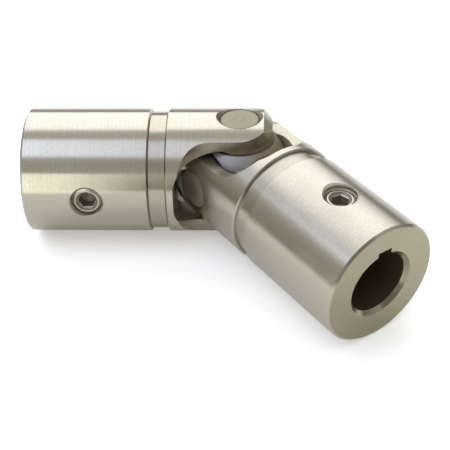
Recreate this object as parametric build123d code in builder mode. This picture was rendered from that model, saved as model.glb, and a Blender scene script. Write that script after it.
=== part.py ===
from build123d import *
from math import cos, radians, sin
import os

# Pin and block universal joint for half inch shafts, lying bent on a flat surface.
# Millimetres. The origin is the centre of the left bore where its straight wall begins,
# +X runs along that bore towards the joint, and +Z is up from the surface it lies on.

# Yokes
outer_diameter = 25.4
half_length = 43.4            # joint centre to the end of either hub
bore_diameter = 12.7
mouth_chamfer = 0.8
bore_relief = 0.25            # the bore opens out this much where it meets the slot
end_chamfer = 0.45
keyway_width = 3.175
keyway_depth = 1.6            # above the bore wall

# Boot groove, turned between hub and fork
groove_from_slot = 1.25       # floor of the slot to the groove's fork edge
groove_width = 4.0
groove_depth = 0.66
groove_slope = 0.4            # how far each side wall leans along the axis

# Fork
ear_width = 13.72
ear_tip_facing = 0.21         # taken off the round tip by the turned end
ear_tip_chamfer = 1.75
side_cutter_radius = 7.14     # leaves the round shoulders at the foot of each ear
slot_cutter_radius = 4.76
slot_floor_inset = 0.55       # each side wall stands in this far near the floor
relief_overcut = 0.71         # depth of the round relief in each slot wall
relief_reach = 4.0            # pin axis to the middle of that relief
slot_floor_gap = 0.4          # extra depth of the floor past the swing of the outer surface

# Block and pins
block_size = 15.5
block_corner_radius = 10.35   # the block's corners are turned to a ball of this radius
slide_gap = 0.05              # between a block face and the ear that turns on it
pin_diameter = 7.94
running_gap = 0.03            # radial, between pin and ear
press_gap = 0.01              # radial, between pin and block
pin_sink = 0.72               # pin end below the crown of the outer surface
pin_edge = 0.2
pin_countersink = 0.78        # how far the mouth of an ear bore opens out
rivet_diameter = 2.38
rivet_head = 0.5              # spread and depth of each formed rivet head

# Set screws
screw_diameter = 6.35
screw_length = 4.76
screw_from_end = 12.96        # hub end to the screw axis
screw_gap = 0.03
screw_countersink = 0.42
screw_edge = 0.42
socket_across_flats = 3.175
socket_depth = 2.4
cup_diameter = 3.2
cup_depth = 0.8
left_screw_lift = 0.94        # screw point above the crown of the bore
right_screw_lift = 0.16

# How it lies
bend_angle = 52.2             # between the two shaft axes, both of them level
left_pin_lean = 5.3           # of the left pin from upright, away from the viewer

outer_radius = outer_diameter / 2
bore_radius = bore_diameter / 2
pin_radius = pin_diameter / 2
ear_half = ear_width / 2
slot_half = block_size / 2 + slide_gap
slot_floor = outer_radius + slot_floor_gap
block_half = block_size / 2
block_bore = pin_radius + press_gap
ear_bore = pin_radius + running_gap
screw_radius = screw_diameter / 2
reach = outer_radius + 5      # clear of everything, for through cuts

joint_centre = Vector(half_length - mouth_chamfer, 0, 0)
left_shaft = Vector(-1, 0, 0)
right_shaft = Vector(cos(radians(bend_angle)), -sin(radians(bend_angle)), 0)
left_pin = Vector(0, sin(radians(left_pin_lean)), cos(radians(left_pin_lean)))
right_pin = right_shaft.cross(left_pin).normalized()

# Each yoke has a plan plane square to its pin, with x along its own shaft.
left_plan = Plane(origin=joint_centre, x_dir=left_shaft, z_dir=left_pin)
right_plan = Plane(origin=joint_centre, x_dir=right_shaft, z_dir=right_pin)


def side_of(plan):
    """The plane through the shaft and the pin: x along the shaft, y along the pin."""
    return Plane(origin=plan.origin, x_dir=plan.x_dir, z_dir=-plan.y_dir)


def across(plan, distance):
    """A plane square to the set screw, at a distance from the shaft axis."""
    centre = plan.from_local_coords((half_length - screw_from_end, distance, 0))
    return Plane(origin=centre, x_dir=plan.x_dir, z_dir=plan.y_dir)


def make_yoke(plan):
    """Hub, boot groove and fork, turned and milled from one bar."""
    side = side_of(plan)
    ear_tip = ear_half - ear_tip_facing
    groove_near = slot_floor + groove_from_slot
    groove_far = groove_near + groove_width
    groove_radius = outer_radius - groove_depth
    with BuildPart() as yoke:
        with BuildSketch(side):
            with BuildLine():
                Polyline(
                    (-ear_tip, 0),
                    (-ear_tip, outer_radius - ear_tip_chamfer),
                    (-ear_tip + ear_tip_chamfer, outer_radius),
                    (groove_near, outer_radius),
                    (groove_near + groove_slope, groove_radius),
                    (groove_far - groove_slope, groove_radius),
                    (groove_far, outer_radius),
                    (half_length - end_chamfer, outer_radius),
                    (half_length, outer_radius - end_chamfer),
                    (half_length, 0),
                    close=True,
                )
            make_face()
        revolve(axis=Axis(plan.origin, plan.x_dir))

        # Bore with its mouth chamfer, eased where it breaks into the slot
        with BuildSketch(side):
            with BuildLine():
                Polyline(
                    (0, 0),
                    (0, bore_radius + bore_relief),
                    (slot_floor + bore_relief, bore_radius + bore_relief),
                    (slot_floor + 2 * bore_relief, bore_radius),
                    (half_length - mouth_chamfer, bore_radius),
                    (half_length, bore_radius + mouth_chamfer),
                    (half_length, 0),
                    close=True,
                )
            make_face()
        revolve(axis=Axis(plan.origin, plan.x_dir), mode=Mode.SUBTRACT)

        # Keyway, broached right through under the set screw
        with BuildSketch(plan):
            with Locations((half_length / 2, (bore_radius + keyway_depth) / 2)):
                Rectangle(half_length, bore_radius + keyway_depth)
        extrude(amount=keyway_width / 2, both=True, mode=Mode.SUBTRACT)

        # Slot between the ears, cut by a round ended mill that dips into each wall
        corner_x = slot_floor - slot_cutter_radius
        corner_y = slot_half - slot_floor_inset - slot_cutter_radius
        relief_y = slot_half + relief_overcut - slot_cutter_radius
        with BuildSketch(side):
            with Locations(
                (corner_x, corner_y),
                (corner_x, -corner_y),
                (relief_reach, relief_y),
                (relief_reach, -relief_y),
            ):
                Circle(slot_cutter_radius)
            make_hull()
            with Locations(((relief_reach - reach) / 2, 0)):
                Rectangle(relief_reach + reach, 2 * slot_half)
        extrude(amount=reach, both=True, mode=Mode.SUBTRACT)

        # Sides of the ears, full round at the tip and swept out into the hub
        shoulder_x = outer_radius - side_cutter_radius
        shoulder_y = ear_half + side_cutter_radius
        with BuildSketch(plan):
            with Locations(((shoulder_x - reach) / 2, 0)):
                Rectangle(shoulder_x + reach, 2 * reach)
            with Locations((shoulder_x / 2, 0)):
                Rectangle(shoulder_x, ear_width, mode=Mode.SUBTRACT)
            Circle(ear_half, mode=Mode.SUBTRACT)
            with Locations((shoulder_x, shoulder_y), (shoulder_x, -shoulder_y)):
                Circle(side_cutter_radius)
        extrude(amount=reach, both=True, mode=Mode.SUBTRACT)

        # Pin bore through both ears, opened out at each mouth
        with BuildSketch(plan):
            Circle(ear_bore)
        extrude(amount=reach, both=True, mode=Mode.SUBTRACT)
        for up in (1, -1):
            mouth = Plane(
                origin=plan.origin + plan.z_dir * (up * outer_radius),
                x_dir=plan.x_dir,
                z_dir=plan.z_dir * up,
            )
            with BuildSketch(mouth):
                Circle(ear_bore + pin_countersink)
            extrude(amount=-pin_countersink, taper=45, mode=Mode.SUBTRACT)

        # Set screw hole, from outside into the keyway
        with BuildSketch(across(plan, 0)):
            Circle(screw_radius + screw_gap)
        extrude(amount=reach, mode=Mode.SUBTRACT)
        with BuildSketch(across(plan, outer_radius)):
            Circle(screw_radius + screw_gap + screw_countersink)
        extrude(amount=-screw_countersink, taper=45, mode=Mode.SUBTRACT)
    return yoke


def make_screw(plan, lift):
    """Socket set screw with a cup point."""
    point = across(plan, bore_radius + lift)
    socket = across(plan, bore_radius + lift + screw_length)
    with BuildPart() as screw:
        with BuildSketch(point):
            Circle(screw_radius)
        extrude(amount=screw_length)
        chamfer(screw.edges().filter_by(GeomType.CIRCLE), length=screw_edge)
        with BuildSketch(socket):
            RegularPolygon(socket_across_flats / 2, 6, major_radius=False)
        extrude(amount=-socket_depth, mode=Mode.SUBTRACT)
        with BuildSketch(point):
            Circle(cup_diameter / 2)
        extrude(amount=cup_depth, taper=60, mode=Mode.SUBTRACT)
    return screw


left_yoke = make_yoke(left_plan)
left_yoke.part.label = "left_yoke"
right_yoke = make_yoke(right_plan)
right_yoke.part.label = "right_yoke"

left_set_screw = make_screw(left_plan, left_screw_lift)
left_set_screw.part.label = "left_set_screw"
right_set_screw = make_screw(right_plan, right_screw_lift)
right_set_screw.part.label = "right_set_screw"

# The block stands between both pairs of ears, square to both pins.
block_plan = Plane(origin=joint_centre, x_dir=left_pin.cross(right_pin), z_dir=left_pin)
cross_plan = Plane(origin=joint_centre, x_dir=left_pin, z_dir=right_pin)
pin_end = outer_radius - pin_sink

with BuildPart() as center_block:
    with BuildSketch(block_plan):
        Rectangle(block_size, block_size)
    extrude(amount=block_half, both=True)
    with Locations(joint_centre):
        Sphere(block_corner_radius, mode=Mode.INTERSECT)
    with BuildSketch(block_plan):
        Circle(block_bore)
    extrude(amount=block_size, both=True, mode=Mode.SUBTRACT)
    with BuildSketch(cross_plan):
        Circle(block_bore)
    extrude(amount=block_size, both=True, mode=Mode.SUBTRACT)
center_block.part.label = "center_block"

# The long pin goes right through and is drilled across for the rivet.
with BuildPart() as long_pin:
    with BuildSketch(block_plan):
        Circle(pin_radius)
    extrude(amount=pin_end, both=True)
    chamfer(long_pin.edges().filter_by(GeomType.CIRCLE), length=pin_edge)
    with BuildSketch(cross_plan):
        Circle(rivet_diameter / 2)
    extrude(amount=reach, both=True, mode=Mode.SUBTRACT)
long_pin.part.label = "long_pin"


def make_short_pin(up):
    """Half pin from the long pin out to one ear, bored for the rivet."""
    inner = pin_radius + press_gap
    outer = Plane(
        origin=joint_centre + right_pin * (up * pin_end),
        x_dir=left_pin,
        z_dir=right_pin * up,
    )
    with BuildPart() as pin:
        with BuildSketch(outer):
            Circle(pin_radius)
        extrude(amount=inner - pin_end)
        chamfer(pin.edges().filter_by(GeomType.CIRCLE), length=pin_edge)
        with BuildSketch(outer):
            Circle(rivet_diameter / 2)
        extrude(amount=inner - pin_end, mode=Mode.SUBTRACT)
        with BuildSketch(outer):
            Circle(rivet_diameter / 2 + rivet_head)
        extrude(amount=-rivet_head, taper=45, mode=Mode.SUBTRACT)
    return pin


short_pin_front = make_short_pin(1)
short_pin_front.part.label = "short_pin_front"
short_pin_back = make_short_pin(-1)
short_pin_back.part.label = "short_pin_back"

# The rivet locks all three pins, its ends spread into the short pins.
with BuildPart() as rivet:
    with BuildSketch(side_of(cross_plan)):
        with BuildLine():
            half = rivet_diameter / 2
            Polyline(
                (0, -pin_end),
                (half + rivet_head, -pin_end),
                (half, -pin_end + rivet_head),
                (half, pin_end - rivet_head),
                (half + rivet_head, pin_end),
                (0, pin_end),
                close=True,
            )
        make_face()
    revolve(axis=Axis(joint_centre, right_pin))
rivet.part.label = "rivet"

os.makedirs("parts", exist_ok=True)
export_step(left_yoke.part, "parts/left_yoke.step")
export_step(right_yoke.part, "parts/right_yoke.step")
export_step(center_block.part, "parts/center_block.step")
export_step(long_pin.part, "parts/long_pin.step")
export_step(short_pin_front.part, "parts/short_pin_front.step")
export_step(short_pin_back.part, "parts/short_pin_back.step")
export_step(rivet.part, "parts/rivet.step")
export_step(left_set_screw.part, "parts/left_set_screw.step")
export_step(right_set_screw.part, "parts/right_set_screw.step")
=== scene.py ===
from math import cos, pi, radians, sin, tan

import bmesh
import bpy
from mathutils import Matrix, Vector


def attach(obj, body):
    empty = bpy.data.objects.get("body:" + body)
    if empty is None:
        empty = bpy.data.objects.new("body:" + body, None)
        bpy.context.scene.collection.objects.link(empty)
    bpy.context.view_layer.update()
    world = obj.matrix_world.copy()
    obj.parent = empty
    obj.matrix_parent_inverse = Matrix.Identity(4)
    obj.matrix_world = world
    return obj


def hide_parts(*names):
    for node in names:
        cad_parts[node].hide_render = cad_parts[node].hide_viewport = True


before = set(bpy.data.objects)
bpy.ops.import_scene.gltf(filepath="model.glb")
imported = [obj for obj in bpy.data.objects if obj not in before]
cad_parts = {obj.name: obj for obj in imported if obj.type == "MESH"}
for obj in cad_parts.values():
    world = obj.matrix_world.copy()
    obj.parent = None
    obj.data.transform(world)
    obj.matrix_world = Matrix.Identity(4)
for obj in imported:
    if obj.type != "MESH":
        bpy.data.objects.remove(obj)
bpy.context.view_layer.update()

mm = 0.001
scene = bpy.context.scene
scene.view_settings.view_transform = "Standard"

camera = {
    "location": (49.289, -186.493, 144.298),   # mm, above and in front of the joint
    "rotation": (49.493, 1.374, 1.971),        # degrees
    "lens": 90.86,                             # mm
    "sensor": 36.0,                            # mm
    "clipStart": 10,                           # mm
}
cameraData = bpy.data.cameras.new("camera")
cameraData.lens = camera["lens"]
cameraData.sensor_width = camera["sensor"]
cameraData.clip_start = camera["clipStart"] * mm
cameraObject = bpy.data.objects.new("camera", cameraData)
cameraObject.location = [v * mm for v in camera["location"]]
cameraObject.rotation_euler = [radians(v) for v in camera["rotation"]]
scene.collection.objects.link(cameraObject)
scene.camera = cameraObject
print("camera placed")

# How the joint lies, and the sizes that its finishes are placed by, in mm.
joint = {
    "centre": (42.6, 0.0, 0.0),
    "bend": 52.2,              # degrees between the two shafts
    "pinLean": 5.3,            # degrees, the left pin from upright
    "hubRadius": 12.7,
    "boreRadius": 6.35,
    "mouthRadius": 7.15,
    "halfLength": 43.4,        # joint's centre to the end of a hub
    "slotFloor": 13.1,         # joint's centre to the floor between the ears
    "pinRadius": 3.97,
    "screwFromCentre": 30.44,
}
centre = Vector(joint["centre"]) * mm
bend, lean = radians(joint["bend"]), radians(joint["pinLean"])
leftShaft = Vector((-1, 0, 0))
rightShaft = Vector((cos(bend), -sin(bend), 0))
leftPin = Vector((0, sin(lean), cos(lean)))
rightPin = rightShaft.cross(leftPin).normalized()


def toLinear(hexColour):
    parts = [int(hexColour[i:i + 2], 16) / 255 for i in (1, 3, 5)]
    return tuple(p / 12.92 if p <= 0.04045 else ((p + 0.055) / 1.055) ** 2.4 for p in parts) + (1.0,)


# Adds a node with its settings and links, and gives back one of its outputs. A Mix node's inputs go
# by number: 2 and 3 are its numbers, 4 and 5 its vectors, 6 and 7 its colours.
def addNode(tree, kind, inputs=None, out=0, **settings):
    made = tree.nodes.new("ShaderNode" + kind)
    for key, value in settings.items():
        setattr(made, key, value)
    for key, value in (inputs or {}).items():
        if isinstance(value, bpy.types.NodeSocket):
            tree.links.new(value, made.inputs[key])
        else:
            made.inputs[key].default_value = value
    return made.outputs[out] if len(made.outputs) else made


def newMaterial(name):
    material = bpy.data.materials.new(name)
    material.use_nodes = True
    material.node_tree.nodes.clear()
    return material, material.node_tree


# Place of a point at rest, in mm from the joint's centre.
def fromCentre(tree):
    place = addNode(tree, "TexCoord", out="Object")
    place = addNode(tree, "VectorMath", {0: place, 1: centre}, operation="SUBTRACT")
    return addNode(tree, "VectorMath", {0: place, "Scale": 1 / mm}, operation="SCALE")


# Stainless bar, turned and fine ground. The tool ran round the shaft, so light is drawn out
# along it and stays crisp round it; cuts that a mill made are duller and browner.
yokeSteel = {
    "turned": "#BCB6A6",
    "faced": "#ADA68E",        # hub end, turned across
    "tipCone": "#BEBA9F",      # cone that the ears end in
    "chamfered": "#A39A83",    # mouth of the bore, rubbed by the shaft
    "sunken": "#B3AD9C",       # floor of the groove, which nothing rubs
    "wallPaintedShade": "#6C6650",        # foot of the groove's walls, with painted shade in the corner
    "wallPaintedHighlight": "#CFC9BB",       # top of them, with a painted highlight along the edge
    "reamed": "#6A5A48",       # bore and keyway, seen only by what light gets in
    "pinned": "#7C7565",       # pin holes
    "tapped": "#DAD3BE",       # threaded screw hole, lighter than the skin: painted light on the hole's walls
    "sunk": "#8E8673",         # edge of that hole, broken by a countersink
    "left": {
        "milled": "#9C9681",   # sides of the ears
        "slotted": "#B0A594",  # between the ears
        "greased": "#B0A594",  # inner wall of the upper ear, with no painted shade
        "film": 0.0,           # share of the metal between the ears that a dull film hides
    },
    "right": {
        "milled": "#B8B29C",
        # lighter than on the left: painted light on the slot's walls, which lie in shade
        "slotted": "#DCD0BA",
        "greased": "#4A4238",  # inner wall of the front ear, dark as painted shade of its gap against the block
        "film": 0.7,
    },
    "milledFilm": 0.1,         # the same on the sides of the ears
    "hiddenFilm": 0.55,        # and in the bore and the screw hole
    "roughness": 0.23,
    "uneven": 0.02,            # how far the roughness goes to each side of that
    "milledRoughness": 0.32,
    "slottedRoughness": 0.5,
    "tappedRoughness": 0.5,
    "anisotropy": 0.86,
    "faceStreak": 0.8,         # share of the streaks that shows on the faced end, where they are finer
    "ringPitch": 0.34,         # mm, real marks are about 0.05 and wouldn't show
    "ringDepth": 0.0004,       # mm
    "grain": 0.45,             # mm, the finest speckle that still shows
    "patch": 6.25,             # mm, size of the clouds in the gloss
    "millPitch": 0.5,          # mm between the cusps that the end mill left down the ears
    "millDepth": 0.012,        # mm
    "threadPitch": 1.27,       # mm, quarter inch by twenty
    "threadDepth": 0.12,       # mm, less than a real thread's, and enough to show
    "sinkRadius": 3.42,        # mm
    "sinkSlope": 0.8,          # mm down for each mm inwards
    "edgeRound": 0.12,         # mm
    "wallMiddle": 12.36,       # mm from the shaft's axis to the middle of the groove's walls
    "wallHalf": 0.27,          # mm, half their height
    "wallFade": (12.12, 12.62),     # mm, where the painted shade at the foot gives way to the painted highlight at the top
    "grooveMiddle": 16.3,      # mm from the joint's centre
    "grooveHalf": 2.9,         # mm, half the width that holds the groove and both its edges
}
# Where each cut ends: a measure of the place, how it compares, and with how many mm.
yokeLimits = {
    "inHub": ("along", "GREATER_THAN", joint["slotFloor"] + 0.15),
    "atSkin": ("radius", "GREATER_THAN", joint["hubRadius"] - 0.06),
    "outside": ("radius", "GREATER_THAN", 11.9),           # skin and groove
    "tipCone": ("overhang", "GREATER_THAN", 17.5),         # radius less length along the shaft
    "slotted": ("width", "LESS_THAN", 8.55),               # the slot and its rounded edges
    "nearWall": ("upPin", "GREATER_THAN", 7.6),
    "faced": ("along", "GREATER_THAN", joint["halfLength"] - 0.03),
    "mouth": ("along", "GREATER_THAN", joint["halfLength"] - 0.8),
    "inMouth": ("radius", "LESS_THAN", joint["mouthRadius"] + 0.05),
    "bored": ("radius", "LESS_THAN", 8.2),                 # bore and keyway
    "byScrew": ("offScrew", "LESS_THAN", 3.7),
    "ahead": ("toScrew", "GREATER_THAN", 6.0),             # on the screw's side of the shaft
    "pinned": ("offPin", "LESS_THAN", joint["pinRadius"] + 0.12),
}
# How those limits and one another make up the other zones.
yokeZones = (
    ("grooved", "outside", "MULTIPLY", "inHub"),
    ("turned", "atSkin", "MAXIMUM", "grooved"),
    ("turned", "turned", "MAXIMUM", "tipCone"),
    ("walled", "byWall", "MULTIPLY", "byGroove"),
    ("sunken", "grooved", "MULTIPLY", "byGroove"),
    ("notSkin", 1.0, "SUBTRACT", "atSkin"),
    ("sunken", "sunken", "MULTIPLY", "notSkin"),
    ("chamfered", "faced", "LESS_THAN", "mouth"),
    ("chamfered", "chamfered", "MULTIPLY", "inMouth"),
    ("notMouth", 1.0, "SUBTRACT", "mouth"),
    ("reamed", "bored", "MULTIPLY", "inHub"),
    ("reamed", "reamed", "MULTIPLY", "notMouth"),
    ("tapped", "byScrew", "MULTIPLY", "notSkin"),
    ("tapped", "tapped", "MULTIPLY", "ahead"),
    ("hidden", "tapped", "MAXIMUM", "reamed"),
    ("notHub", 1.0, "SUBTRACT", "inHub"),
    ("notTurned", 1.0, "SUBTRACT", "turned"),
    ("milled", "notHub", "MULTIPLY", "notTurned"),
    ("between", "slotted", "MULTIPLY", "milled"),
    ("greased", "nearWall", "MULTIPLY", "slotted"),
)


# Measures of a point on a yoke: lengths along its axes and away from them, in mm.
def measureYoke(tree, shaft, pin):
    screw = pin.cross(shaft)
    place = fromCentre(tree)
    at = {"place": place}
    for key, axis in (("along", shaft), ("upPin", pin), ("toScrew", screw)):
        at[key] = addNode(tree, "VectorMath", {0: place, 1: axis}, out="Value", operation="DOT_PRODUCT")
    screwPlace = shaft * joint["screwFromCentre"]
    fromScrew = addNode(tree, "VectorMath", {0: place, 1: screwPlace}, operation="SUBTRACT")
    axes = (("radius", shaft, place), ("offPin", pin, place), ("offScrew", screw, fromScrew))
    for key, axis, start in axes:
        turn = addNode(tree, "VectorMath", {0: axis, 1: start}, operation="CROSS_PRODUCT")
        at[key] = addNode(tree, "VectorMath", {0: turn}, out="Value", operation="LENGTH")
    at["width"] = addNode(tree, "Math", {0: at["upPin"]}, operation="ABSOLUTE")
    at["overhang"] = addNode(tree, "Math", {0: at["radius"], 1: at["along"]}, operation="SUBTRACT")
    return at


# Masks that are 1 in the zone that one tool made, and 0 elsewhere.
def zoneYoke(tree, at):
    finish = yokeSteel
    zone = {}
    for key, (measure, comparison, limit) in yokeLimits.items():
        zone[key] = addNode(tree, "Math", {0: at[measure], 1: limit}, operation=comparison)
    wall = {0: at["radius"], 1: finish["wallMiddle"], 2: finish["wallHalf"]}
    zone["byWall"] = addNode(tree, "Math", wall, operation="COMPARE")
    groove = {0: at["along"], 1: finish["grooveMiddle"], 2: finish["grooveHalf"]}
    zone["byGroove"] = addNode(tree, "Math", groove, operation="COMPARE")
    for key, first, operation, second in yokeZones:
        pair = {0: zone.get(first, first), 1: zone.get(second, second)}
        zone[key] = addNode(tree, "Math", pair, operation=operation)
    inward = {0: finish["sinkRadius"], 1: at["offScrew"]}
    sink = addNode(tree, "Math", inward, operation="SUBTRACT", use_clamp=True)
    sink = addNode(tree, "Math", {0: sink, 1: zone["ahead"]}, operation="MULTIPLY")
    zone["sink"] = addNode(tree, "Math", {0: sink, 1: zone["atSkin"]}, operation="MULTIPLY")      # mm inwards
    zone["sunk"] = addNode(tree, "Math", {0: zone["sink"], 1: 0.01}, operation="GREATER_THAN")
    return zone


def colourYoke(tree, at, zone, side):
    finish = yokeSteel
    # the groove's walls: painted shade at their foot, a painted highlight along their top
    low, high = finish["wallFade"]
    up = addNode(tree, "MapRange", {"Value": at["radius"], "From Min": low, "From Max": high})
    ends = {0: up, 6: toLinear(finish["wallPaintedShade"]), 7: toLinear(finish["wallPaintedHighlight"])}
    made = {"walled": addNode(tree, "Mix", ends, out=2, data_type="RGBA")}
    inside = toLinear(finish[side]["milled"])
    # the slot, then the front ear's inner wall, which on the right is darkened as painted shade
    for key in ("slotted", "greased"):
        layer = {0: zone[key], 6: inside, 7: toLinear(finish[side][key])}
        inside = addNode(tree, "Mix", layer, out=2, data_type="RGBA")
    made["milled"] = inside
    colour = toLinear(finish["turned"])
    layers = (
        "sunken", "walled", "tipCone", "faced", "chamfered", "milled", "reamed", "sunk", "tapped", "pinned",
    )
    for key in layers:
        over = made[key] if key in made else toLinear(finish[key])
        colour = addNode(tree, "Mix", {0: zone[key], 6: colour, 7: over}, out=2, data_type="RGBA")
    return colour


def turnedSteel(name, shaft, pin, side):
    finish = yokeSteel
    material, tree = newMaterial(name)
    at = measureYoke(tree, shaft, pin)
    zone = zoneYoke(tree, at)
    colour = colourYoke(tree, at, zone, side)

    # fine rings left by the tool, all round the shaft, with a speckle over them
    cut = addNode(tree, "Math", {0: at["along"], 1: at["radius"]}, operation="ADD")
    rings = addNode(tree, "TexNoise", {
        "W": cut, "Scale": 1 / finish["ringPitch"], "Detail": 2.0, "Roughness": 0.6,
    }, noise_dimensions="1D")
    streak = addNode(tree, "MapRange", {
        "Value": rings, "From Min": 0.25, "From Max": 0.75, "To Min": 0.955, "To Max": 1.035,
    })
    grain = addNode(tree, "TexNoise", {
        "Vector": at["place"], "Scale": 1 / finish["grain"], "Detail": 3.0, "Roughness": 0.7,
    })
    grain = addNode(tree, "MapRange", {
        "Value": grain, "From Min": 0.3, "From Max": 0.7, "To Min": 0.945, "To Max": 1.055,
    })
    streak = addNode(tree, "Math", {0: streak, 1: grain}, operation="MULTIPLY")
    calm = finish["faceStreak"]
    even = addNode(tree, "Math", {0: streak, 1: calm, 2: 1 - calm}, operation="MULTIPLY_ADD")
    streak = addNode(tree, "Mix", {0: zone["faced"], 2: streak, 3: even})

    # cusps that stand along the pin's axis on what was milled
    level = addNode(tree, "VectorMath", {0: pin, "Scale": at["upPin"]}, operation="SCALE")
    level = addNode(tree, "VectorMath", {0: at["place"], 1: level}, operation="SUBTRACT")
    cusps = addNode(tree, "TexNoise", {"Vector": level, "Scale": 1 / finish["millPitch"], "Detail": 2.0})
    cuspTone = addNode(tree, "MapRange", {
        "Value": cusps, "From Min": 0.3, "From Max": 0.7, "To Min": 0.92, "To Max": 1.06,
    })
    streak = addNode(tree, "Mix", {0: zone["milled"], 2: streak, 3: cuspTone})
    colour = addNode(tree, "VectorMath", {0: colour, "Scale": streak}, operation="SCALE")

    # threads down the screw hole, with painted shade at their roots
    turn = {0: at["toScrew"], 1: -2 * pi / finish["threadPitch"]}
    turn = addNode(tree, "Math", turn, operation="MULTIPLY")
    turn = addNode(tree, "Math", {0: turn}, operation="SINE")
    thread = addNode(tree, "Math", {0: turn, 1: zone["tapped"]}, operation="MULTIPLY")
    root = addNode(tree, "MapRange", {
        "Value": thread, "From Min": -1.0, "From Max": -0.55, "To Min": 0.3, "To Max": 1.0,
    }, interpolation_type="SMOOTHSTEP")
    colour = addNode(tree, "VectorMath", {0: colour, "Scale": root}, operation="SCALE")

    # roughness, and the film that makes hidden metal dull
    patches = addNode(tree, "TexNoise", {"Vector": at["place"], "Scale": 1 / finish["patch"], "Detail": 2.0})
    rough = addNode(tree, "MapRange", {
        "Value": patches, "From Min": 0.3, "From Max": 0.7,
        "To Min": finish["roughness"] - finish["uneven"], "To Max": finish["roughness"] + finish["uneven"],
    })
    inside = {0: zone["slotted"], 2: finish["milledRoughness"], 3: finish["slottedRoughness"]}
    inside = addNode(tree, "Mix", inside)
    rough = addNode(tree, "Mix", {0: zone["milled"], 2: rough, 3: inside})
    rough = addNode(tree, "Mix", {0: zone["tapped"], 2: rough, 3: finish["tappedRoughness"]})
    film = addNode(tree, "Math", {0: zone["milled"], 1: finish["milledFilm"]}, operation="MULTIPLY")
    film = addNode(tree, "Mix", {0: zone["between"], 2: film, 3: finish[side]["film"]})
    film = addNode(tree, "Mix", {0: zone["hidden"], 2: film, 3: finish["hiddenFilm"]})
    bareness = addNode(tree, "Math", {0: 1.0, 1: film}, operation="SUBTRACT")

    # relief of all those marks in mm, and edges that are just broken where no lathe made them
    height = addNode(tree, "Math", {0: rings, 1: finish["ringDepth"]}, operation="MULTIPLY")
    cusps = addNode(tree, "Math", {0: cusps, 1: zone["milled"]}, operation="MULTIPLY")
    sink = zone["sink"]
    marks = ((thread, finish["threadDepth"]), (sink, -finish["sinkSlope"]), (cusps, finish["millDepth"]))
    for mark, depth in marks:
        height = addNode(tree, "Math", {0: mark, 1: depth, 2: height}, operation="MULTIPLY_ADD")
    facing = addNode(tree, "NewGeometry", out="Normal")
    edge = addNode(tree, "Bevel", {"Radius": finish["edgeRound"] * mm}, samples=8)
    edge = addNode(tree, "Mix", {0: zone["turned"], 4: edge, 5: facing}, out=1, data_type="VECTOR")
    relief = addNode(tree, "Bump", {"Height": height, "Distance": mm, "Normal": edge})

    # the way that the tool ran, which light is drawn out across
    ran = addNode(tree, "VectorMath", {0: shaft, 1: at["place"]}, operation="CROSS_PRODUCT")
    ran = addNode(
        tree, "VectorTransform", {"Vector": ran},
        vector_type="VECTOR", convert_from="OBJECT", convert_to="WORLD",
    )
    drawn = addNode(tree, "VectorMath", {0: facing, 1: ran}, operation="CROSS_PRODUCT")
    pull = finish["anisotropy"]
    drawnOut = addNode(tree, "Math", {0: zone["milled"], 1: -pull, 2: pull}, operation="MULTIPLY_ADD")
    shader = addNode(tree, "BsdfPrincipled", {
        "Base Color": colour,
        "Metallic": bareness,
        "Roughness": rough,
        "Anisotropic": drawnOut,
        "Normal": relief,
        "Tangent": drawn,
    })
    addNode(tree, "OutputMaterial", {"Surface": shader})
    return material


# Hardened and ground block: cool grey, even, no grain to see, with a brown painted reflection of the
# ears round it on its side towards the right shaft.
blockSteel = {
    "colour": "#A6A39F",
    "paintedReflection": "#A5957F",
    "paintedReflectionSpan": (1.5, 4.5),     # mm towards that side, where the painted reflection starts and is full
    "roughness": 0.6,
    "uneven": 0.06,            # how far the roughness goes to each side of that
    "mottle": 2.5,             # mm
    "mottleDepth": 0.002,      # mm
    "greased": 7.6,            # mm from the centre, just short of the flats that the ears turn on, where the painted shade is full
    "greaseEdge": 0.15,        # mm before that, over which the painted shade comes in
    "grease": (0.18, 0.5),     # how much light is left there, in the cool part and in the part with the painted reflection
    "edgeRound": 0.15,         # mm
}


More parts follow.
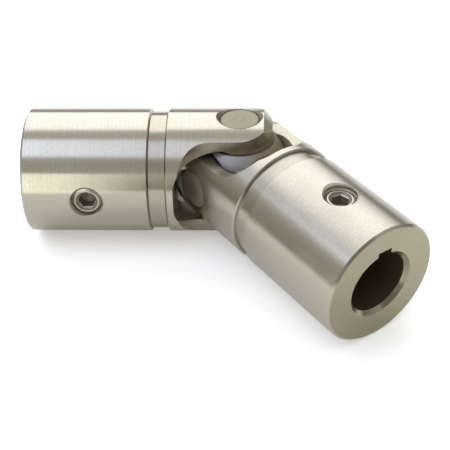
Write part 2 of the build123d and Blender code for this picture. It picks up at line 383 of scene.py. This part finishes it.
def blockMaterial():
    finish = blockSteel
    material, tree = newMaterial("hardenedGroundSteel")
    place = fromCentre(tree)
    # brown painted reflection on the side towards the right shaft
    paintedReflection = addNode(tree, "VectorMath", {0: place, 1: -leftShaft}, out="Value", operation="DOT_PRODUCT")
    low, high = finish["paintedReflectionSpan"]
    paintedReflection = addNode(tree, "MapRange", {"Value": paintedReflection, "From Min": low, "From Max": high})
    tints = {0: paintedReflection, 6: toLinear(finish["colour"]), 7: toLinear(finish["paintedReflection"])}
    colour = addNode(tree, "Mix", tints, out=2, data_type="RGBA")
    mottle = addNode(tree, "TexCoord", out="Object")
    mottle = addNode(tree, "TexNoise", {
        "Vector": mottle, "Scale": 1 / (finish["mottle"] * mm), "Detail": 4.0,
    })
    fade = addNode(tree, "MapRange", {
        "Value": mottle, "From Min": 0.3, "From Max": 0.7, "To Min": 0.92, "To Max": 1.06,
    })
    colour = addNode(tree, "VectorMath", {0: colour, "Scale": fade}, operation="SCALE")

    # painted shade on the flats that the ears turn on, and just round them, in the gap against the ears
    reach = []
    for pin in (leftPin, rightPin):
        out = addNode(tree, "VectorMath", {0: place, 1: pin}, out="Value", operation="DOT_PRODUCT")
        reach.append(addNode(tree, "Math", {0: out}, operation="ABSOLUTE"))
    out = addNode(tree, "Math", {0: reach[0], 1: reach[1]}, operation="MAXIMUM")
    low, high = finish["grease"]
    left = addNode(tree, "MapRange", {"Value": paintedReflection, "To Min": low, "To Max": high})
    grease = addNode(tree, "MapRange", {
        "Value": out, "From Min": finish["greased"] - finish["greaseEdge"], "From Max": finish["greased"],
        "To Min": 1.0, "To Max": left,
    })
    colour = addNode(tree, "VectorMath", {0: colour, "Scale": grease}, operation="SCALE")
    rough = addNode(tree, "MapRange", {
        "Value": mottle,
        "To Min": finish["roughness"] - finish["uneven"], "To Max": finish["roughness"] + finish["uneven"],
    })
    edge = addNode(tree, "Bevel", {"Radius": finish["edgeRound"] * mm}, samples=4)
    relief = addNode(tree, "Bump", {"Height": mottle, "Distance": finish["mottleDepth"] * mm, "Normal": edge})
    shader = addNode(tree, "BsdfPrincipled", {
        "Base Color": colour, "Metallic": 1.0, "Roughness": rough, "Normal": relief,
    })
    addNode(tree, "OutputMaterial", {"Surface": shader})
    return material


# Pins cut to length and faced: a dull warm end with faint rings about a small centre mark.
pinSteel = {
    "long": {
        "colour": "#948B78",
        "roughness": 0.5,
        "film": 0.0,           # share of the metal that a dull oxide film hides
        "ringPitch": 0.4,      # mm
        "ringDepth": 0.004,    # mm
        "centreMark": 0.95,    # mm, radius of the mark
    },
    "short": {                 # sits deeper, where the film stays on it
        "colour": "#A08F7D",
        "roughness": 0.6,
        "film": 0.5,
        "ringPitch": 0.4,
        "ringDepth": 0.004,
        "centreMark": 0.95,
    },
    "rivet": {                 # ends spread by a punch
        "colour": "#988876",
        "roughness": 0.55,
        "film": 0.5,
        "ringPitch": 0.3,
        "ringDepth": 0.003,
        "centreMark": 0.8,
    },
    "markWidth": 0.3,          # mm to each side
    "markShade": 0.12,         # how much darker the mark is
    "uneven": 0.05,            # how far the roughness goes to each side of its value
    "edgeRound": 0.1,          # mm
}


def facedPin(name, pin, kind):
    finish = pinSteel[kind]
    material, tree = newMaterial(name)
    off = addNode(tree, "VectorMath", {0: pin, 1: fromCentre(tree)}, operation="CROSS_PRODUCT")
    radius = addNode(tree, "VectorMath", {0: off}, out="Value", operation="LENGTH")
    ringed = {"W": radius, "Scale": 1 / finish["ringPitch"], "Detail": 1.0}
    rings = addNode(tree, "TexNoise", ringed, noise_dimensions="1D")
    mark = addNode(tree, "Math", {0: radius, 1: finish["centreMark"]}, operation="SUBTRACT")
    mark = addNode(tree, "Math", {0: mark}, operation="ABSOLUTE")
    mark = addNode(tree, "MapRange", {
        "Value": mark, "From Min": 0.0, "From Max": pinSteel["markWidth"], "To Min": 1.0, "To Max": 0.0,
    }, interpolation_type="SMOOTHSTEP")
    streak = addNode(tree, "MapRange", {
        "Value": rings, "From Min": 0.3, "From Max": 0.7, "To Min": 0.9, "To Max": 1.08,
    })
    streak = addNode(tree, "Math", {0: mark, 1: -pinSteel["markShade"], 2: streak}, operation="MULTIPLY_ADD")
    tint = {0: toLinear(finish["colour"])[:3], "Scale": streak}
    colour = addNode(tree, "VectorMath", tint, operation="SCALE")
    height = addNode(tree, "Math", {0: mark, 1: -1.0, 2: rings}, operation="MULTIPLY_ADD")
    edge = addNode(tree, "Bevel", {"Radius": pinSteel["edgeRound"] * mm}, samples=4)
    relief = addNode(tree, "Bump", {"Height": height, "Distance": finish["ringDepth"] * mm, "Normal": edge})
    rough = addNode(tree, "MapRange", {
        "Value": rings,
        "To Min": finish["roughness"] - pinSteel["uneven"],
        "To Max": finish["roughness"] + pinSteel["uneven"],
    })
    shader = addNode(tree, "BsdfPrincipled", {
        "Base Color": colour, "Metallic": 1 - finish["film"], "Roughness": rough, "Normal": relief,
    })
    addNode(tree, "OutputMaterial", {"Surface": shader})
    return material


finishes = {
    "left_yoke": turnedSteel("groundStainlessLeft", leftShaft, leftPin, "left"),
    "right_yoke": turnedSteel("groundStainlessRight", rightShaft, rightPin, "right"),
    "center_block": blockMaterial(),
    "long_pin": facedPin("facedPinSteel", leftPin, "long"),
    "short_pin_front": facedPin("boredPinSteel", rightPin, "short"),
    "short_pin_back": facedPin("boredPinSteelBack", rightPin, "short"),
    "rivet": facedPin("upsetRivetSteel", rightPin, "rivet"),
}
for name, material in finishes.items():
    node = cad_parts[name]
    node.data.materials.clear()
    node.data.materials.append(material)
print("finishes on the yokes, block, pins and rivet")

# Screws of plain steel, with a brown trace of oil in the socket that dulls it, and the same dark finish on
# the steps round the top ring as painted shade.
screwSteel = {
    "ring": "#D2CCBE",
    "flank": "#D0C9B8",
    "socket": "#8A7D69",
    "oilAndPaintedShade": 0.85,               # how much of the metal it hides, in the socket and on the shaded steps round the ring
    "roughness": 0.36,
    "uneven": (0.08, 0.1),     # how far the roughness goes below and above that
    "grain": 0.8,              # mm
    "grainDepth": 0.004,       # mm
}


def screwMaterial():
    finish = screwSteel
    material, tree = newMaterial("plainScrewSteel")
    place = addNode(tree, "TexCoord", out="UV")
    zones = addNode(tree, "SeparateXYZ", {0: place}).node.outputs       # X in the socket, Y on the ring
    grain = addNode(tree, "TexCoord", out="Object")
    grain = addNode(tree, "TexNoise", {"Vector": grain, "Scale": 1 / (finish["grain"] * mm), "Detail": 4.0})
    streak = addNode(tree, "MapRange", {
        "Value": grain, "From Min": 0.3, "From Max": 0.7, "To Min": 0.85, "To Max": 1.1,
    })
    colour = toLinear(finish["flank"])
    for zone, key in (("X", "socket"), ("Y", "ring")):
        layer = {0: zones[zone], 6: colour, 7: toLinear(finish[key])}
        colour = addNode(tree, "Mix", layer, out=2, data_type="RGBA")
    colour = addNode(tree, "VectorMath", {0: colour, "Scale": streak}, operation="SCALE")
    below, above = finish["uneven"]
    rough = addNode(tree, "MapRange", {
        "Value": grain, "To Min": finish["roughness"] - below, "To Max": finish["roughness"] + above,
    })
    bare = addNode(tree, "Math", {0: zones["X"], 1: -finish["oilAndPaintedShade"], 2: 1.0}, operation="MULTIPLY_ADD")
    relief = addNode(tree, "Bump", {"Height": grain, "Distance": finish["grainDepth"] * mm})
    shader = addNode(tree, "BsdfPrincipled", {
        "Base Color": colour, "Metallic": bare, "Roughness": rough, "Normal": relief,
    })
    addNode(tree, "OutputMaterial", {"Surface": shader})
    return material


# Socket set screw, quarter inch by twenty, with a cup point. Sizes in mm.
setScrew = {
    "radius": 3.16,
    "rootRadius": 2.45,
    "pitch": 1.27,
    "length": 4.76,
    "crest": 0.14,             # where the flank starts, from 0 on the crest to 1 at the root
    "root": 0.86,              # and where it ends
    "runOut": 0.6,             # height over which the thread ends below the top
    "cupFloor": (0.4, 0.72),   # radius, height
    "cupRadius": 1.6,
    "pointRadius": 1.85,
    "topSlope": 1.9,           # radius gained for each mm down from the shoulder
    "rimRadius": 2.5,          # bright ring that the facing tool left round the top
    "rimStep": 0.02,
    "rimWidth": 0.26,
    "rimHeight": 0.14,
    "rimRound": (0.06, 0.05),  # inwards, down
    "dishLip": (0.1, 0.16),    # inwards, down
    "dishDepth": 0.42,         # from the ring down to the mouth of the socket
    "socketFlats": 3.175,
    "socketDepth": 2.4,
    "socketMouth": 0.1,
    "drillRadius": 0.45,       # share of the distance across the flats
    "drillStep": 0.03,
    "drillTip": (0.2, 0.7),    # radius, below the socket's floor
    "steps": 96,
    "sharp": 35,               # degrees between faces, from where an edge is kept sharp
    "rise": 0.06,              # between rings of the thread
    "lifts": {"left": 0.94, "right": 0.42},       # of the point above the wall of the bore
    "turns": {"left": 27, "right": 15},           # degrees that the socket is turned
    # how much of the socket's finish and of the ring's each band has
    "zones": {"thread": (0, 0), "socket": (1, 0), "ring": (0, 1), "dish": (0.92, 0)},
}


# Radius of the screw on its way round the thread, from the point at height 0 up to the shoulder. The
# phase is 0 on the crest and 1 at the root.
def threadRadius(height, angle, shoulder):
    s = setScrew
    phase = abs(((height / s["pitch"] - angle / (2 * pi)) % 1.0) - 0.5) * 2
    depth = min(max((phase - s["crest"]) / (s["root"] - s["crest"]), 0), 1)
    depth *= min((shoulder - height) / s["runOut"], 1)
    cone = min(s["pointRadius"] + height, s["rimRadius"] + s["rimStep"] + (shoulder - height) * s["topSlope"])
    return min(s["radius"] + (s["rootRadius"] - s["radius"]) * depth, cone)


# Rings of the screw from the bottom of its cup to the bottom of its socket: radius or radii, height,
# and the finish of the band that starts there.
def screwRings(angles, turned):
    s = setScrew
    top, rim, flats = s["length"], s["rimRadius"], s["socketFlats"]
    shoulder = top - s["rimHeight"]
    mouth = top - s["dishDepth"]
    floor = top - s["socketDepth"]
    count = round(top / s["rise"])
    heights = [shoulder * k / count for k in range(1, count)]
    thread = [([threadRadius(z, a, shoulder) for a in angles], z, "thread") for z in heights]
    hexagon = [flats / 2 / cos((a + turned + pi / 6) % (pi / 3) - pi / 6) for a in angles]
    return [
        (s["cupFloor"][0], s["cupFloor"][1], "socket"),
        (s["cupRadius"], 0.0, "thread"),
        (s["pointRadius"], 0.0, "thread"),
        *thread,
        # the steps down outside and inside the ring take the socket's dark finish: painted shade
        (rim + s["rimStep"], shoulder, "socket"),
        (rim, top - s["rimRound"][1], "ring"),
        (rim - s["rimRound"][0], top, "ring"),
        (rim - s["rimWidth"], top, "socket"),
        (rim - s["rimWidth"] - s["dishLip"][0], top - s["dishLip"][1], "dish"),
        ([r + s["socketMouth"] for r in hexagon], mouth, "ring"),
        (hexagon, mouth - s["socketMouth"], "socket"),
        (hexagon, floor, "socket"),
        (flats * s["drillRadius"], floor - s["drillStep"], "socket"),
        (s["drillTip"][0], floor - s["drillTip"][1], "socket"),
    ]


def makeSetScrew(side, shaft, pin, material):
    s = setScrew
    steps = s["steps"]
    outward = pin.cross(shaft)
    across = outward.cross(shaft)
    lift = joint["boreRadius"] + s["lifts"][side]
    base = centre + (shaft * joint["screwFromCentre"] + outward * lift) * mm
    angles = [2 * pi * i / steps for i in range(steps)]
    rings = screwRings(angles, radians(s["turns"][side]))
    mesh = bmesh.new()
    uv = mesh.loops.layers.uv.new("finish")
    made = []
    for radii, z, _ in rings:
        if not isinstance(radii, list):
            radii = [radii] * steps
        made.append([
            mesh.verts.new(base + (shaft * (r * cos(a)) + across * (r * sin(a)) + outward * z) * mm)
            for r, a in zip(radii, angles)
        ])
    for k in range(len(made) - 1):
        for i in range(steps):
            j = (i + 1) % steps
            face = mesh.faces.new((made[k][i], made[k][j], made[k + 1][j], made[k + 1][i]))
            face.smooth = True
            for loop in face.loops:
                loop[uv].uv = s["zones"][rings[k][2]]
    for ring in (made[0], made[-1]):
        mesh.faces.new(ring)
    bmesh.ops.recalc_face_normals(mesh, faces=mesh.faces)
    data = bpy.data.meshes.new(side + "_threaded_set_screw")
    mesh.to_mesh(data)
    mesh.free()
    data.set_sharp_from_angle(angle=radians(s["sharp"]))
    data.materials.append(material)
    piece = bpy.data.objects.new(side + "_threaded_set_screw", data)
    scene.collection.objects.link(piece)
    return piece


screwFinish = screwMaterial()
for side, shaft, pin in (("left", leftShaft, leftPin), ("right", rightShaft, rightPin)):
    piece = makeSetScrew(side, shaft, pin, screwFinish)
    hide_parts(side + "_set_screw")
    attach(piece, side + "_set_screw")
print("threaded set screws made")


# A flat sheet of the studio, from its four corners.
def makeSheet(name, corners, material):
    mesh = bpy.data.meshes.new(name)
    mesh.from_pydata(corners, [], [(0, 1, 2, 3)])
    mesh.materials.append(material)
    sheet = bpy.data.objects.new(name, mesh)
    scene.collection.objects.link(sheet)
    return sheet


# Floor of white paper. A glow that only the camera and the metal see brings it up to plain white; it is
# dimmed round the joint as a painted shadow, and it fades far away, so that the paper near the joint lies in
# a painted pool of light.
floorSheet = {
    "size": 8.0,               # m
    "colour": "#F4F2EC",
    "roughness": 0.9,
    "specular": 0.1,
    "glow": 0.54,
    "contact": 25,             # mm, how far round the joint the glow is dimmed as a painted shadow, on top of the real one
    "shade": 0.42,             # how much of the glow goes right under the joint
    "mirrored": 0.28,          # share of the glow that the metal sees, so that its underside stays dark
    "pool": (150, 450),        # mm from the joint, where the painted pool of light starts and ends its fade
    "far": 0.3,                # how much of the white is left beyond that
}


def paperMaterial():
    sheet = floorSheet
    material, tree = newMaterial("whitePaper")
    ray = addNode(tree, "LightPath").node.outputs
    seen = {0: ray["Is Glossy Ray"], 1: ray["Is Transmission Ray"]}
    seen = addNode(tree, "Math", seen, operation="MAXIMUM")
    seen = addNode(tree, "Math", {0: seen, 1: sheet["mirrored"]}, operation="MULTIPLY")
    seen = addNode(tree, "Math", {0: seen, 1: ray["Is Camera Ray"]}, operation="MAXIMUM")
    contact = addNode(tree, "AmbientOcclusion", {"Distance": sheet["contact"] * mm}, out="AO", samples=8)
    away = addNode(tree, "TexCoord", out="Object")
    away = addNode(tree, "VectorMath", {0: away, 1: centre}, out="Value", operation="DISTANCE")
    near, far = sheet["pool"]
    pool = addNode(tree, "MapRange", {
        "Value": away, "From Min": near * mm, "From Max": far * mm, "To Min": 1.0, "To Max": sheet["far"],
    })
    glow = addNode(tree, "MapRange", {
        "Value": contact, "To Min": sheet["glow"] * (1 - sheet["shade"]), "To Max": sheet["glow"],
    })
    glow = addNode(tree, "Math", {0: glow, 1: pool}, operation="MULTIPLY")
    strength = addNode(tree, "Math", {0: seen, 1: glow}, operation="MULTIPLY")
    tint = {0: toLinear(sheet["colour"])[:3], "Scale": pool}
    shader = addNode(tree, "BsdfPrincipled", {
        "Base Color": addNode(tree, "VectorMath", tint, operation="SCALE"),
        "Roughness": sheet["roughness"],
        "Specular IOR Level": sheet["specular"],
        "Emission Color": (1, 1, 1, 1),
        "Emission Strength": strength,
    })
    addNode(tree, "OutputMaterial", {"Surface": shader})
    return material


half = floorSheet["size"] / 2
corners = [(-half, -half, 0), (half, -half, 0), (half, half, 0), (-half, half, 0)]
floor = makeSheet("floor", corners, paperMaterial())
floor.location.z = -joint["hubRadius"] * mm
print("floor laid")

# The studio round it, by direction from the joint, in degrees. Azimuth turns from +X. A panel is a
# rectangle square to its own direction, and a later one hangs in front of those before it: first a
# dark flag to the right of the camera, then two softboxes. Shift moves a panel along its own width,
# and blend says how far its edges fade to each side, as a share of its half width and half height.
room = {
    "low": 0.22,               # light of the walls at the floor
    "high": 0.67,              # and overhead
    "rises": (0, 34),          # elevations where it starts to rise and is full
    "colours": ("#FFFDE9", "#FCFBFA"),
}
panels = {
    "flag": {
        "azimuth": 299, "elevation": 34, "width": 50, "height": 44, "shift": 0,
        "blend": (0.15, 0.4), "level": 0.26, "colour": "#FFFCF0",
    },
    "rear": {
        "azimuth": 104, "elevation": 35.7, "width": 63, "height": 55, "shift": 0,
        "blend": (0.55, 0.12), "level": 2.25, "colour": "#F5F7FF",
    },
    "overhead": {
        "azimuth": 270, "elevation": 77.6, "width": 60, "height": 34.5, "shift": -35.8,
        "blend": (0.3, 0.25), "level": 2.9, "colour": "#D9E3FF",
    },
}


# Hangs one panel in front of the sky so far.
def hangPanel(tree, direction, sky, panel):
    for axis, turn in (("Z_AXIS", -panel["azimuth"]), ("Y_AXIS", panel["elevation"])):
        turned = {"Vector": direction, "Angle": radians(turn)}
        direction = addNode(tree, "VectorRotate", turned, rotation_type=axis)
    flat = addNode(tree, "SeparateXYZ", {0: direction}).node.outputs
    inside = addNode(tree, "Math", {0: flat["X"], 1: 0.0}, operation="GREATER_THAN")
    sides = (("Y", panel["width"], panel["shift"]), ("Z", panel["height"], 0))
    for (part, size, shift), blend in zip(sides, panel["blend"]):
        aside = addNode(tree, "Math", {0: flat[part], 1: flat["X"]}, operation="DIVIDE")
        aside = addNode(tree, "Math", {0: aside, 1: tan(radians(shift))}, operation="SUBTRACT")
        aside = addNode(tree, "Math", {0: aside}, operation="ABSOLUTE")
        edge = tan(radians(size / 2))
        fade = addNode(tree, "MapRange", {
            "Value": aside, "From Min": edge * (1 - blend), "From Max": edge * (1 + blend),
            "To Min": 1.0, "To Max": 0.0,
        }, interpolation_type="SMOOTHSTEP")
        inside = addNode(tree, "Math", {0: inside, 1: fade}, operation="MULTIPLY")
    lit = tuple(c * panel["level"] for c in toLinear(panel["colour"])[:3]) + (1,)
    return addNode(tree, "Mix", {0: inside, 6: sky, 7: lit}, out=2, data_type="RGBA")


world = bpy.data.worlds.new("studio")
scene.world = world
world.use_nodes = True
tree = world.node_tree
tree.nodes.clear()
direction = addNode(tree, "TexCoord", out="Generated")
elevation = addNode(tree, "SeparateXYZ", {0: direction}, out="Z")
for operation in ("ARCSINE", "DEGREES"):
    elevation = addNode(tree, "Math", {0: elevation}, operation=operation)
low, high = room["rises"]
rise = addNode(tree, "MapRange", {"Value": elevation, "From Min": low, "From Max": high})
walls = []
for key, tint in zip(("low", "high"), room["colours"]):
    walls.append(tuple(c * room[key] for c in toLinear(tint)[:3]) + (1,))
sky = addNode(tree, "Mix", {0: rise, 6: walls[0], 7: walls[1]}, out=2, data_type="RGBA")
for panel in panels.values():
    sky = hangPanel(tree, direction, sky, panel)
background = addNode(tree, "Background", {"Color": sky, "Strength": 1.0})
addNode(tree, "OutputWorld", {"Surface": background})

# A white card that hangs low in front of the left shaft, near enough that only the left hub sees all
# of it. Sizes in mm, "away" in front of the left shaft's axis.
frontCard = {
    "left": -110, "right": 1.5, "away": 92, "top": 52.5, "bottom": -8,
    "level": 2.1, "colour": "#FFFFFA",
}


def cardMaterial():
    material, tree = newMaterial("litCard")
    lit = {"Color": toLinear(frontCard["colour"]), "Strength": frontCard["level"]}
    addNode(tree, "OutputMaterial", {"Surface": addNode(tree, "Emission", lit)})
    return material


ends = (("left", "bottom"), ("right", "bottom"), ("right", "top"), ("left", "top"))
corners = [(frontCard[x] * mm, -frontCard["away"] * mm, frontCard[z] * mm) for x, z in ends]
card = makeSheet("front_card", corners, cardMaterial())
for ray in ("camera", "diffuse", "shadow"):        # only the metal sees it
    setattr(card, "visible_" + ray, False)
print("studio lit")
